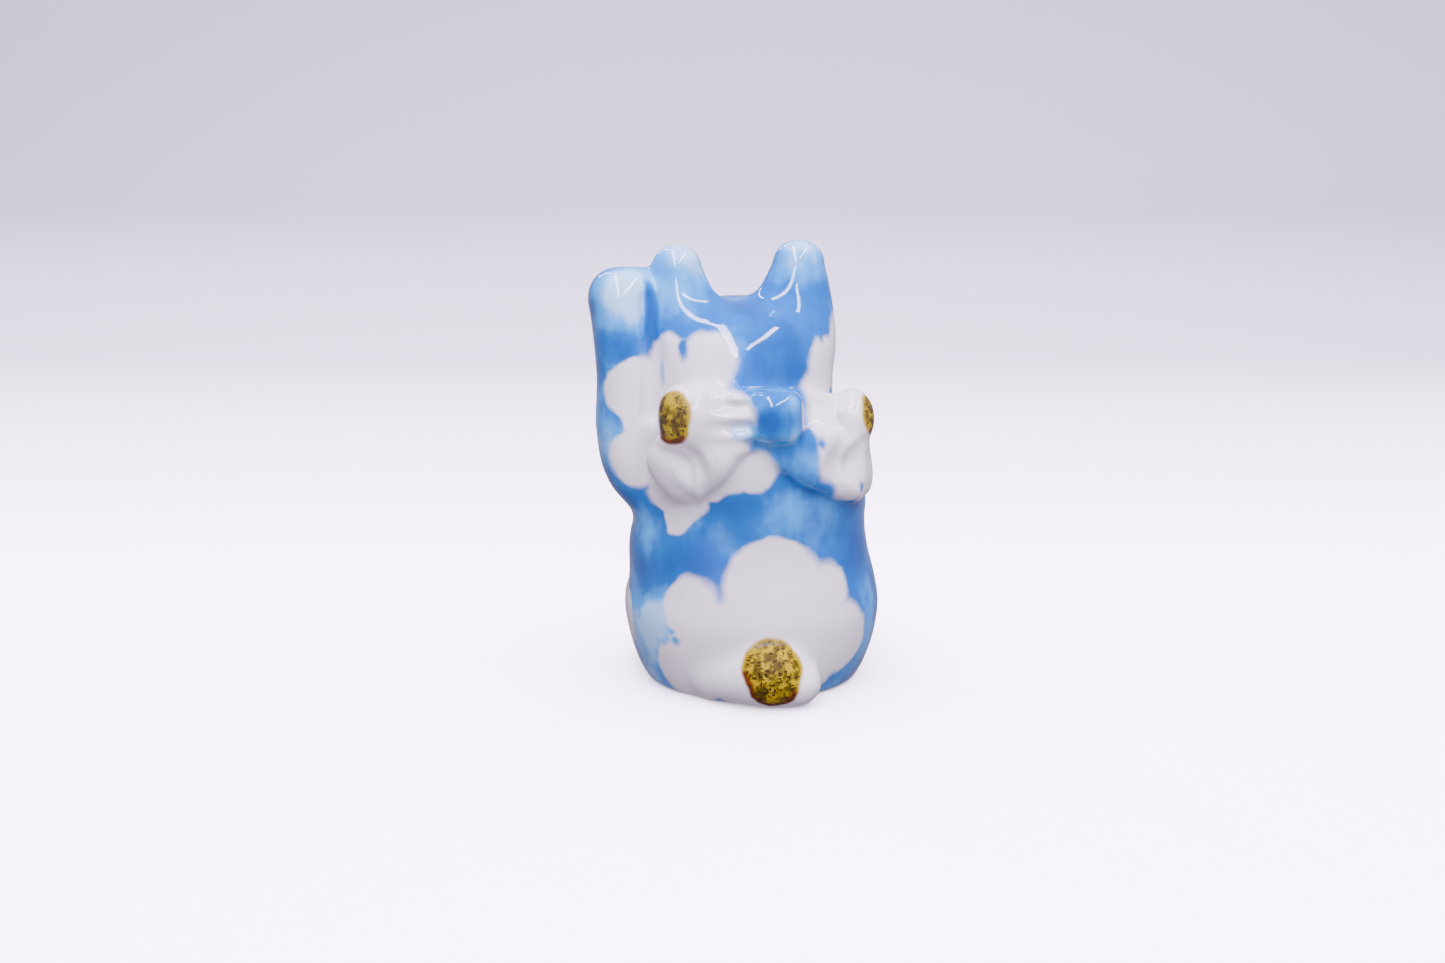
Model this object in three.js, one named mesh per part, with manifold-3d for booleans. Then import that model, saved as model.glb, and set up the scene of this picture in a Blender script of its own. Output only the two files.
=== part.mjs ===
// A slip-cast beckoning cat, 97 mm tall, as the separate castings and hand-made pieces that
// a potter lutes together with slip before glazing. Millimetres, +Z up. The cat faces -Y, so
// its own left is +X. The body's axis is the Z axis while the pieces are shaped; the finished
// cat is then moved so that the origin is on the table, under the middle of its bounding box.
import * as THREE from "three";
import { mergeVertices } from "three/addons/utils/BufferGeometryUtils.js";
import Module from "manifold-3d";

const wasm = await Module();
wasm.setup();

// ---- driving dimensions -------------------------------------------------------------
const HEIGHT = 97; // table to ear tips
const WALL = 3.2; // cast wall of the two hollow pieces
const SLIP_GAP = 0.3; // slip line left between two luted pieces
const NECK_Z = 54; // joint plane between the body casting and the head casting
const BODY_DEPTH = 0.94; // body depth over body width
const HEAD_DEPTH = 0.93;
const HEAD_AT = { x: 3, y: -2.2 }; // the head leans a little towards the raised arm
const POUR_HOLE_R = 9; // where the slip was poured in and out, in the middle of the foot
const SPIGOT_R = 11.5; // neck ring of the body that locates the head
const SPIGOT_RISE = 2.5;
const SPIGOT_WALL = 3;
const BOW_Z = 63.6;
const TABLE_CENTRE = new THREE.Vector3(4.18, -0.5, 0); // middle of the ground the cat covers
const SIDES = { left: 1, right: -1 };

// Half-widths of the body and the head as [radius, height], from the bottom up.
const BODY_OUTLINE = [
  [21.5, 0],
  [23.9, 1.4],
  [25.6, 5],
  [27.4, 10.5],
  [28.2, 17],
  [27.3, 23],
  [25.6, 29],
  [24.8, 35],
  [25.2, 41],
  [24.6, 47],
  [21.8, 52],
  [19, 56],
];
const HEAD_OUTLINE = [
  [17.6, 52],
  [19.8, 56.5],
  [21, 63],
  [21, 69],
  [20.4, 74.5],
  [18.6, 79],
  [14.6, 82.4],
  [8, 84],
];
const HEAD_TOP_Z = 84.6;
const BODY_RINGS = 18;
const HEAD_RINGS = 13;
const TURNED_SIDES = 40;
const LIMB_SIDES = 16;
const LIMB_RINGS = 12;
const BLOCK_SIZE = 200; // side of the blocks that trim a piece flat

// ---- helpers ------------------------------------------------------------------------
// A closed three.js geometry as a manifold solid.
function solid(geometry) {
  const bare = geometry.clone();
  bare.deleteAttribute("normal");
  bare.deleteAttribute("uv");
  const merged = mergeVertices(bare, 1e-4);
  return new wasm.Manifold(
    new wasm.Mesh({
      numProp: 3,
      vertProperties: merged.attributes.position.array,
      triVerts: new Uint32Array(merged.index.array),
    }),
  );
}

function geometryOf(made) {
  const { vertProperties, triVerts } = made.getMesh();
  const geometry = new THREE.BufferGeometry()
    .setAttribute("position", new THREE.BufferAttribute(vertProperties, 3))
    .setIndex(new THREE.BufferAttribute(triVerts, 1));
  geometry.computeVertexNormals();
  return geometry;
}

// A turned shape about +Z with a flat foot, grown by `grow` all over.
function turned(outline, topZ, rings, grow) {
  const spline = new THREE.SplineCurve(outline.map(([r, z]) => new THREE.Vector2(r, z)));
  const side = spline.getPoints(rings);
  const lowZ = side[0].y - grow;
  const profile = side.map((p, i) => {
    const along = side[Math.min(i + 1, rings)].clone().sub(side[Math.max(i - 1, 0)]).normalize();
    return new THREE.Vector2(p.x + grow * along.y, Math.max(p.y - grow * along.x, lowZ));
  });
  profile[0].y = lowZ;
  const closed = [new THREE.Vector2(0, lowZ), ...profile, new THREE.Vector2(0, topZ + grow)];
  return new THREE.LatheGeometry(closed, TURNED_SIDES).rotateX(Math.PI / 2);
}

function ellipsoid(at, radii, grow = 0) {
  const [rx, ry, rz] = radii.map((r) => r + grow);
  return solid(new THREE.SphereGeometry(1, LIMB_SIDES, LIMB_RINGS).scale(rx, ry, rz).translate(...at));
}

// Straight-line interpolation through evenly spaced values, for t from 0 to 1.
function through(...values) {
  return (t) => {
    const place = t * (values.length - 1);
    const i = Math.min(Math.floor(place), values.length - 2);
    return THREE.MathUtils.lerp(values[i], values[i + 1], place - i);
  };
}

// A closed limb with round ends along a curve through `points`. It measures `wide(t)` each
// way along `across`, and `thick(t)` each way at right angles to that.
function limb({ points, wide, thick, across }, grow) {
  const path = new THREE.CatmullRomCurve3(points.map((p) => new THREE.Vector3(...p)));
  const length = path.getLength();
  const geometry = new THREE.SphereGeometry(1, LIMB_SIDES, LIMB_RINGS);
  const place = geometry.attributes.position;
  const vertex = new THREE.Vector3();
  for (let i = 0; i < place.count; i++) {
    vertex.fromBufferAttribute(place, i);
    const t = THREE.MathUtils.clamp((1 - vertex.y) / 2, 0, 1);
    const along = path.getTangentAt(t);
    const first = new THREE.Vector3(...across).projectOnPlane(along).normalize();
    const second = new THREE.Vector3().crossVectors(along, first);
    const toEnd = (Math.min(t, 1 - t) * length * 2) / (wide(t) + thick(t));
    const cap = Math.sqrt(Math.max(0, 1 - Math.max(0, 1 - toEnd) ** 2));
    const turn = Math.atan2(vertex.z, vertex.x);
    const grown = vertex.y * grow;
    vertex
      .copy(path.getPointAt(t))
      .addScaledVector(along, -grown)
      .addScaledVector(first, Math.cos(turn) * (wide(t) + grow) * cap)
      .addScaledVector(second, Math.sin(turn) * (thick(t) + grow) * cap);
    place.setXYZ(i, vertex.x, vertex.y, vertex.z);
  }
  return solid(geometry);
}

function slab(lowZ, highZ) {
  const box = new THREE.BoxGeometry(BLOCK_SIZE, BLOCK_SIZE, highZ - lowZ);
  return solid(box.translate(0, 0, (lowZ + highZ) / 2));
}
const above = (z) => slab(z, z + BLOCK_SIZE);

function rod(radius, lowZ, highZ, at = { x: 0, y: 0 }) {
  const cylinder = new THREE.CylinderGeometry(radius, radius, highZ - lowZ, TURNED_SIDES);
  return solid(cylinder.rotateX(Math.PI / 2).translate(at.x, at.y, (lowZ + highZ) / 2));
}

// ---- blanks: each piece as if it were alone and solid, grown by `grow` ----------------
function bodyBlank(grow) {
  const trunk = turned(BODY_OUTLINE, BODY_OUTLINE.at(-1)[1], BODY_RINGS, grow).scale(1, BODY_DEPTH, 1);
  const haunch = (side) => ellipsoid([side * 14, -14, 14], [11, 13, 11.5], grow);
  return solid(trunk).add(haunch(SIDES.left)).add(haunch(SIDES.right));
}

function headBlank(grow) {
  const skull = turned(HEAD_OUTLINE, HEAD_TOP_Z, HEAD_RINGS, grow);
  const muzzle = ellipsoid([HEAD_AT.x, HEAD_AT.y - 17.2, 63], [7.5, 4.5, 4.6], grow);
  return solid(skull.scale(1, HEAD_DEPTH, 1).translate(HEAD_AT.x, HEAD_AT.y, 0)).add(muzzle);
}

const ear = (side) => (grow) =>
  limb(
    {
      points: [
        [HEAD_AT.x + side * 12.6, -2.4, 73.5],
        [HEAD_AT.x + side * 13.2, -2, 85],
        [HEAD_AT.x + side * 13.8, -1.4, HEIGHT],
      ],
      wide: through(8.4, 8.2, 7.3, 5.9, 3.9),
      thick: through(6, 5.6, 5, 4.2, 3.4),
      across: [1, 0, 0],
    },
    grow,
  );

const raisedArm = (grow) =>
  limb(
    {
      points: [
        [21, 0, 36.5],
        [25.8, 0, 45],
        [28.2, 0, 56],
        [28.8, 0, 69],
        [29.2, -1.2, 81],
        [29.4, -3, 92.3],
      ],
      wide: through(5.5, 6.8, 6.6, 6.1, 6, 6.5, 7.2, 7.4),
      thick: through(6.5, 7.8, 7.4, 6.9, 6.8, 7.2, 7.8, 7.6),
      across: [1, 0, 0],
    },
    grow,
  );

const loweredArm = (grow) =>
  limb(
    {
      points: [
        [-19, -6, 49],
        [-21.5, -14, 41],
        [-15.5, -21.5, 34.5],
        [-5, -25.5, 34],
      ],
      wide: through(6.5, 6.8, 6.2, 5.8, 6, 6.2),
      thick: through(6.5, 6.6, 5.8, 5.2, 5.2, 5.4),
      across: [0, 0, 1],
    },
    grow,
  );

const foot = (side) => (grow) => ellipsoid([side * 11.5, -24, 5.2], [7.2, 8.5, 5.6], grow);

const tail = (grow) =>
  limb(
    {
      points: [
        [13, 18, 6],
        [7, 22.6, 6.4],
        [0, 24.6, 6.8],
        [-9, 23.4, 6.6],
      ],
      wide: through(5, 6.2, 6.9, 6.9, 6.4),
      thick: through(5, 6.2, 6.9, 6.9, 6.4),
      across: [0, 0, 1],
    },
    grow,
  );

const bowKnot = (grow) => ellipsoid([0, 23.2, BOW_Z + 0.6], [5.5, 5.2, 6.3], grow);

const leftLoop = (grow) =>
  limb(
    {
      points: [
        [2, 22.4, BOW_Z + 0.2],
        [10, 21.6, BOW_Z],
        [18, 19, BOW_Z - 0.2],
        [24.6, 14.6, BOW_Z - 0.4],
      ],
      wide: through(5.6, 6.8, 7, 6.9, 6.2),
      thick: through(4.6, 5.4, 5.8, 6, 5.6),
      across: [0, 0, 1],
    },
    grow,
  );

// The right loop is pressed flat to the nape beside the knot, and puffs out past the cheek.
const rightLoop = (grow) =>
  limb(
    {
      points: [
        [-2, 21.4, BOW_Z],
        [-9.5, 18.6, BOW_Z - 0.6],
        [-16.5, 14.8, BOW_Z - 2],
        [-23, 11, BOW_Z - 3.2],
      ],
      wide: through(4.4, 4.8, 5.8, 6.6, 6.2),
      thick: through(2.2, 2.4, 4, 5.6, 5.6),
      across: [0, 0, 1],
    },
    grow,
  );

const leftRibbonEnd = (grow) =>
  limb(
    {
      points: [
        [1.5, 22.4, 60],
        [10, 21.4, 56],
        [18, 16.4, 52],
        [24, 8.5, 49],
      ],
      wide: through(3.2, 5, 6.6, 7.6, 7.2),
      thick: through(2.8, 2.6, 2.5, 2.5, 2.4),
      across: [-0.35, 0, 1],
    },
    grow,
  );

const rightRibbonEnd = (grow) =>
  limb(
    {
      points: [
        [-1.5, 22.4, 60],
        [-10, 21.4, 54.8],
        [-17.2, 16.6, 50.4],
        [-23, 8, 47],
      ],
      wide: through(3.4, 5.4, 7.4, 8.4, 8),
      thick: through(2.8, 2.6, 2.5, 2.5, 2.4),
      across: [0.35, 0, 1],
    },
    grow,
  );

// The ribbon lies round the neck, low under the chin and high at the nape.
const collar = {
  across: 20.4,
  deep: 19.2,
  halfHeight: 3,
  halfThick: 1.8,
  slope: 0.2,
  middleZ: 56.8,
};
function collarRibbon(grow) {
  const tube = 0.1;
  const ring = new THREE.TorusGeometry(1, tube, 10, TURNED_SIDES);
  const place = ring.attributes.position;
  for (let i = 0; i < place.count; i++) {
    const turn = Math.atan2(place.getY(i), place.getX(i));
    const out = ((Math.hypot(place.getX(i), place.getY(i)) - 1) / tube) * (collar.halfThick + grow);
    const up = (place.getZ(i) / tube) * (collar.halfHeight + grow);
    const y = HEAD_AT.y / 2 + Math.sin(turn) * (collar.deep + out);
    const x = HEAD_AT.x / 2 + Math.cos(turn) * (collar.across + out);
    place.setXYZ(i, x, y, collar.middleZ + collar.slope * y + up);
  }
  return solid(ring);
}

const bell = (grow) => ellipsoid([HEAD_AT.x / 2, -24, 50.6], [4.2, 4.2, 4.2], grow);

// ---- the two hollow castings ----------------------------------------------------------
function bodyShell() {
  const cavity = bodyBlank(-WALL).intersect(slab(WALL, NECK_Z - WALL));
  return bodyBlank(0)
    .intersect(slab(0, NECK_Z))
    .subtract(cavity)
    .add(rod(SPIGOT_R, NECK_Z - WALL, NECK_Z + SPIGOT_RISE, HEAD_AT))
    .subtract(rod(SPIGOT_R - SPIGOT_WALL, NECK_Z - 2 * WALL, NECK_Z + 2 * SPIGOT_RISE, HEAD_AT))
    .subtract(rod(POUR_HOLE_R, -WALL, 2 * WALL));
}

function headShell() {
  const cavity = headBlank(-WALL).intersect(above(NECK_Z + WALL));
  return headBlank(0)
    .intersect(above(NECK_Z + SLIP_GAP))
    .subtract(cavity)
    .subtract(rod(SPIGOT_R + SLIP_GAP, NECK_Z - WALL, NECK_Z + 2 * WALL, HEAD_AT));
}

// The front of each ear is hollowed by a thumb.
const earHollow = (side) => ellipsoid([HEAD_AT.x + side * 13.4, -8, 87.5], [4.2, 5.2, 6.6]);

// ---- assembly: each piece is cut back from every blank before it in this list ----------
const glaze = (color) => new THREE.MeshStandardMaterial({ color, roughness: 0.08, metalness: 0 });
const WHITE = glaze(0xf4f2f3);
const BLUE = glaze(0x4f9fd8);
const OCHRE = glaze(0xb99a2f);

const HOLLOW = [
  { name: "body_shell", blank: bodyBlank, shape: bodyShell(), material: WHITE },
  { name: "head_shell", blank: headBlank, shape: headShell(), material: WHITE },
];
const LUTED = [
  { name: "left_ear", blank: ear(SIDES.left), carve: earHollow(SIDES.left), material: BLUE },
  { name: "right_ear", blank: ear(SIDES.right), carve: earHollow(SIDES.right), material: BLUE },
  { name: "raised_left_arm", blank: raisedArm, material: WHITE },
  { name: "lowered_right_arm", blank: loweredArm, material: WHITE },
  { name: "left_foot", blank: foot(SIDES.left), material: WHITE },
  { name: "right_foot", blank: foot(SIDES.right), material: WHITE },
  { name: "tail", blank: tail, material: OCHRE },
  { name: "bow_knot", blank: bowKnot, material: BLUE },
  { name: "bow_left_loop", blank: leftLoop, material: WHITE },
  { name: "bow_right_loop", blank: rightLoop, material: WHITE },
  { name: "bow_left_end", blank: leftRibbonEnd, material: WHITE },
  { name: "bow_right_end", blank: rightRibbonEnd, material: WHITE },
  { name: "collar_ribbon", blank: collarRibbon, material: BLUE },
  { name: "bell", blank: bell, material: OCHRE },
];

// The largest body left after the cuts; the slivers beside it aren't part of the piece.
function largest(made) {
  return made.decompose().reduce((a, b) => (a.volume() > b.volume() ? a : b));
}

const cat = new THREE.Group();
cat.position.copy(TABLE_CENTRE).negate();
function addPiece(name, shape, material) {
  const mesh = new THREE.Mesh(geometryOf(shape), material);
  mesh.name = name;
  cat.add(mesh);
}

HOLLOW.forEach(({ name, shape, material }) => addPiece(name, shape, material));
const keepClear = HOLLOW.map(({ blank }) => blank(SLIP_GAP));
for (const { name, blank, carve, material } of LUTED) {
  const whole = keepClear.reduce((made, other) => made.subtract(other), blank(0).intersect(above(0)));
  addPiece(name, largest(carve ? whole.subtract(carve) : whole), material);
  keepClear.push(blank(SLIP_GAP));
}

const part = new THREE.Group();
part.add(cat);
export default part;
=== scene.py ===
"""A glazed ceramic beckoning cat, seen from behind.

The shapes are distance fields in millimetres, blended the way thick glaze rounds every crease,
turned into one fine skin and then split along the slip lines into one closed mesh per CAD node.
Shapes and paint are placed about the body's own axis, which stands at AXIS in the row frame.
"""

import math

import bpy
import numpy as np
import openvdb
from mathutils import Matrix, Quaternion, Vector


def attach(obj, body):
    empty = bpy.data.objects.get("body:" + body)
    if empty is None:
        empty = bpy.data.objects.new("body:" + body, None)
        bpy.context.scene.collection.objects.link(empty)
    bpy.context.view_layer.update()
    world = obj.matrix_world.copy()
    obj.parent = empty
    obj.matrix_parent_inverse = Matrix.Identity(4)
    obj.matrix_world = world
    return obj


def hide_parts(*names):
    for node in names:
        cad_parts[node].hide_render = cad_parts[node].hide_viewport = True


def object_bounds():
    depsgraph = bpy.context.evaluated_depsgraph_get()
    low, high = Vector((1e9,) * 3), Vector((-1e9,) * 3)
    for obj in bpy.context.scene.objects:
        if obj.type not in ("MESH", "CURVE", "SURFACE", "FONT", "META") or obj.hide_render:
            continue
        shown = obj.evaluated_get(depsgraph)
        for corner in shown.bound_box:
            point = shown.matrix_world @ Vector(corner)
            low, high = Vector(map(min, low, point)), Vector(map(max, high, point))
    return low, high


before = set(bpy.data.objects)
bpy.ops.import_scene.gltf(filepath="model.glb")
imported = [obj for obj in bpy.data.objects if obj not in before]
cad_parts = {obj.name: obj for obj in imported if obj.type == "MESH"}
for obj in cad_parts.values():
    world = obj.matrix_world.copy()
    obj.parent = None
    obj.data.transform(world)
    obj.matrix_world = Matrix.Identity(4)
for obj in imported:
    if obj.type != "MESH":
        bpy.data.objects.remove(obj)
CAD_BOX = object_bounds()

AXIS = np.array([-4.18, 0.5, 0.0])  # the body's axis on the table, in mm in the row frame
MM = 0.001
VOXEL = 0.45
GRID_MARGIN = 3.0
FAR = 6.0  # the distance given to places that a shape doesn't reach
PATH_STEPS = 40
OUTLINE_STEPS = 160
OUTLINE_REACH = 60  # how far out from its axis the distances to an outline are worked out
OUTLINE_CELL = 0.5
BODY_DEPTH = 0.94  # the body's depth from front to back, as a part of its width
HEAD_DEPTH = 0.93
HEAD_X, HEAD_Y = 3.0, -2.2
WALL = 3.2
CAVITY_TOP = 47.0
POUR_RADIUS = 9.0
RIM_DEPTH = 0.8

# ---- distance fields -------------------------------------------------------------------
GRID_LOW = np.array(CAD_BOX[0]) / MM - AXIS - GRID_MARGIN
GRID_HIGH = np.array(CAD_BOX[1]) / MM - AXIS + GRID_MARGIN
GRID = [np.arange(a, b, VOXEL) for a, b in zip(GRID_LOW, GRID_HIGH)]


def window(lowest, highest):
    """The part of the grid between two corners: its slices, and its X, Y and Z values."""
    spans = tuple(
        slice(*np.searchsorted(axis, (a, b))) for axis, a, b in zip(GRID, lowest, highest)
    )
    x, y, z = (axis[span] for axis, span in zip(GRID, spans))
    return spans, x[:, None, None], y[None, :, None], z[None, None, :]


def smooth_path(rows, steps):
    """Points spread along a Catmull-Rom curve through the rows."""
    p = np.asarray(rows, float)
    p = np.vstack([2 * p[0] - p[1], p, 2 * p[-1] - p[-2]])
    place = np.linspace(0, len(rows) - 1, steps)
    i = np.minimum(place.astype(int), len(rows) - 2)
    t = (place - i)[:, None]
    a, b, c, d = p[i], p[i + 1], p[i + 2], p[i + 3]
    bend = (2 * a - 5 * b + 4 * c - d) * t**2 + (3 * b - a - 3 * c + d) * t**3
    return 0.5 * (2 * b + (c - a) * t + bend)


def turned(outline, depth, centre):
    """A shape turned about Z from [radius, height] rows, with its depth squeezed."""
    spans, x, y, z = window(GRID_LOW, GRID_HIGH)
    path = smooth_path(outline, OUTLINE_STEPS)
    path = np.vstack([[0, path[0, 1]], path, [0, path[-1, 1]]])
    reach = np.arange(0, OUTLINE_REACH, OUTLINE_CELL)
    r, h = np.meshgrid(reach, z.ravel(), indexing="ij")
    nearest = np.full(r.shape, np.inf)
    for (ar, ah), (br, bh) in zip(path[:-1], path[1:]):
        span = max((br - ar) ** 2 + (bh - ah) ** 2, 1e-9)
        t = np.clip(((r - ar) * (br - ar) + (h - ah) * (bh - ah)) / span, 0, 1)
        away = np.hypot(r - ar - t * (br - ar), h - ah - t * (bh - ah))
        nearest = np.minimum(nearest, away)
    widest = np.interp(h, path[1:-1, 1], path[1:-1, 0])
    inside = (r < widest) & (h > path[0, 1]) & (h < path[-1, 1])
    table = np.where(inside, -nearest, nearest)
    out = np.hypot(x - centre[0], (y - centre[1]) / depth)[:, :, 0]
    layers = [np.interp(out, reach, table[:, k]) for k in range(table.shape[1])]
    return spans, np.stack(layers, axis=-1)


def rounded(x, y, z, radii, power):
    """Distance to a superellipsoid at the origin, from its implicit value and slope."""
    a, b, c = (np.abs(v) / r for v, r in zip((x, y, z), radii))
    value = (a**power + b**power + c**power) ** (1 / power)
    a, b, c = (v / np.maximum(value, 1e-6) for v in (a, b, c))
    slope = [n ** (power - 1) / r for n, r in zip((a, b, c), radii)]
    return (value - 1) / np.maximum(np.sqrt(sum(s * s for s in slope)), 1e-6)


def ball(centre, radii, power=2.0):
    """A superellipsoid: an ellipsoid at power 2, and boxier above it."""
    centre, radii = np.array(centre, float), np.array(radii, float)
    spans, x, y, z = window(centre - radii - FAR, centre + radii + FAR)
    return spans, rounded(x - centre[0], y - centre[1], z - centre[2], radii, power)


def limb(rows, across, power=2.0, relief=None):
    """A round-ended limb through rows of [x, y, z, half width along `across`, half thickness].

    relief(u, side, face) raises the surface: u runs from 0 to 1 along the limb, and side and
    face run from -1 to 1 over its section.
    """
    line = smooth_path(rows, PATH_STEPS)
    run = np.append(0, np.cumsum(np.linalg.norm(np.diff(line[:, :3], axis=0), axis=1)))
    ends = line[[0, -1], 3:].mean(axis=1)
    stops = np.linspace(ends[0], run[-1] - ends[1], PATH_STEPS)
    line = np.stack([np.interp(stops, run, column) for column in line.T], axis=1)
    tangent = np.gradient(line[:, :3], axis=0)
    tangent /= np.linalg.norm(tangent, axis=1)[:, None]
    reach = line[:, 3:].max() + FAR
    spans, x, y, z = window(line[:, :3].min(0) - reach, line[:, :3].max(0) + reach)
    best, place = np.inf, 0.0
    for i in range(PATH_STEPS - 1):
        start, step = line[i, :3], line[i + 1, :3] - line[i, :3]
        rel = (x - start[0], y - start[1], z - start[2])
        t = np.clip(sum(r * s for r, s in zip(rel, step)) / (step @ step), 0, 1)
        away = sum((r - t * s) ** 2 for r, s in zip(rel, step))
        place = np.where(away < best, i + t, place)
        best = np.minimum(away, best)
    steps = np.arange(PATH_STEPS)
    at = [np.interp(place, steps, column) for column in line.T]
    along = [np.interp(place, steps, column) for column in tangent.T]
    lean = sum(a * t for a, t in zip(across, along))
    first = [a - lean * t for a, t in zip(across, along)]
    size = np.sqrt(sum(f * f for f in first))
    first = [f / size for f in first]
    second = [
        along[1] * first[2] - along[2] * first[1],
        along[2] * first[0] - along[0] * first[2],
        along[0] * first[1] - along[1] * first[0],
    ]
    offset = (x - at[0], y - at[1], z - at[2])
    side = sum(o * f for o, f in zip(offset, first))
    face = sum(o * f for o, f in zip(offset, second))
    ahead = sum(o * f for o, f in zip(offset, along))
    wide, thick = at[3], at[4]
    field = rounded(side, face, ahead, (wide, thick, (wide + thick) / 2), power)
    if relief:
        field = field - relief(place / (PATH_STEPS - 1), side / wide, face / thick)
    return spans, field


def smooth_min(a, b, blend):
    """The smaller of two fields, with a fillet where they are within `blend` of each other."""
    near = np.maximum(blend - np.abs(a - b), 0) / blend
    return np.minimum(a, b) - near * near * blend / 4


def melt(field, shapes, blend):
    """Adds shapes to a field over the whole grid, with a fillet about `blend` wide."""
    for spans, distance in shapes:
        field[spans] = smooth_min(field[spans], distance, blend)


def carve(field, shapes, blend):
    """Takes shapes out of a field over the whole grid."""
    for spans, distance in shapes:
        field[spans] = -smooth_min(-field[spans], distance, blend)


def empty():
    """A field with nothing in it."""
    return np.full([len(axis) for axis in GRID], FAR, np.float32)


def sample(field, spans, points):
    """A field's values at points, by trilinear interpolation."""
    total = np.zeros(len(points), np.float32)
    place = []
    for k, span in enumerate(spans):
        at = (points[:, k] - GRID[k][span][0]) / VOXEL
        cell = np.clip(at.astype(int), 0, field.shape[k] - 2)
        place.append((cell, np.clip(at - cell, 0, 1)))
    for corner in np.ndindex(2, 2, 2):
        weight = 1.0
        index = []
        for (cell, part), step in zip(place, corner):
            weight = weight * (part if step else 1 - part)
            index.append(cell + step)
        total += weight * field[tuple(index)]
    return total


# ---- the pieces ------------------------------------------------------------------------
# Half-widths of the body and the head as (radius, height), from the bottom up.
BODY_OUTLINE = [
    (20.5, 0), (22.9, 0.35), (24.2, 1.9), (25.7, 5), (27.4, 10.5), (28.2, 17), (27.3, 23),
    (25.8, 29), (25, 35), (25.2, 41), (24.6, 47), (21.8, 52), (18, 57),
]  # fmt: skip
HEAD_OUTLINE = [
    (16, 52), (19.8, 56.5), (21, 63), (21, 69), (20.4, 74.5), (18.6, 79), (14.6, 82.4),
    (8, 84.2), (0, 84.6),
]  # fmt: skip


def gathered(u, side, face):
    """Three puffs that fan out from the knot, and shallow waves along the top edge."""
    puffs = 0.85 * np.exp(-(((u - 0.08) / 0.36) ** 2)) * np.cos(10.1 * (side - 0.14))
    waves = 0.5 * np.cos(16.1 * (u - 0.16)) * np.clip(1.6 * side - 0.3, 0, 1)
    return puffs * np.clip(-2 * face, 0, 1) + waves


def cupped(u, side, face):
    """The middle of a ribbon end dips inside a raised rim, with a low fold across the dip."""
    middle = np.exp(-3.2 * side * side)
    dip = -2.4 * middle * np.clip(5 * u - 1.5, 0, 1) * np.clip(4.2 - 5 * u, 0, 1)
    return dip + 0.7 * np.exp(-(((u - 0.55 - 0.3 * side * side) / 0.09) ** 2))


def fold(*points, radius):
    """A rounded fold of ribbon through the points."""
    return limb([(*point, radius, radius) for point in points], (0, 0.3, 1))


def ear(side):
    """The left ear for side 1, and the right ear for side -1."""
    rows = [
        (HEAD_X + side * 8.2, 1.6, 69, 8.8, 8),
        (HEAD_X + side * 11.8, -0.2, 79, 8.9 - 0.4 * side, 7),
        (HEAD_X + side * 13.2, -1.2, 87.5, 7.1 - 0.3 * side, 5.4),
        (HEAD_X + side * 14, -1.6, 96.2, 4.2, 3.8),
    ]
    return limb(rows, (1, 0, 0))


def groove(*points, radius=0.9):
    """A round-bottomed groove through the points."""
    return limb([(*point, radius, radius) for point in points], (1, 0, 0))


def collar():
    """A flat band round the neck that rises toward the back."""
    spans, x, y, z = window((-30, -30, 45), (34, 30, 70))
    out = 19.8 * (np.hypot((x - HEAD_X / 2) / 20.4, (y - HEAD_Y / 2) / 19.2) - 1)
    up = z - 56.8 - 0.2 * y
    return spans, rounded(out, 0 * up, up + 0 * out, (1.8, 1, 3.0), 2.4)


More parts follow.
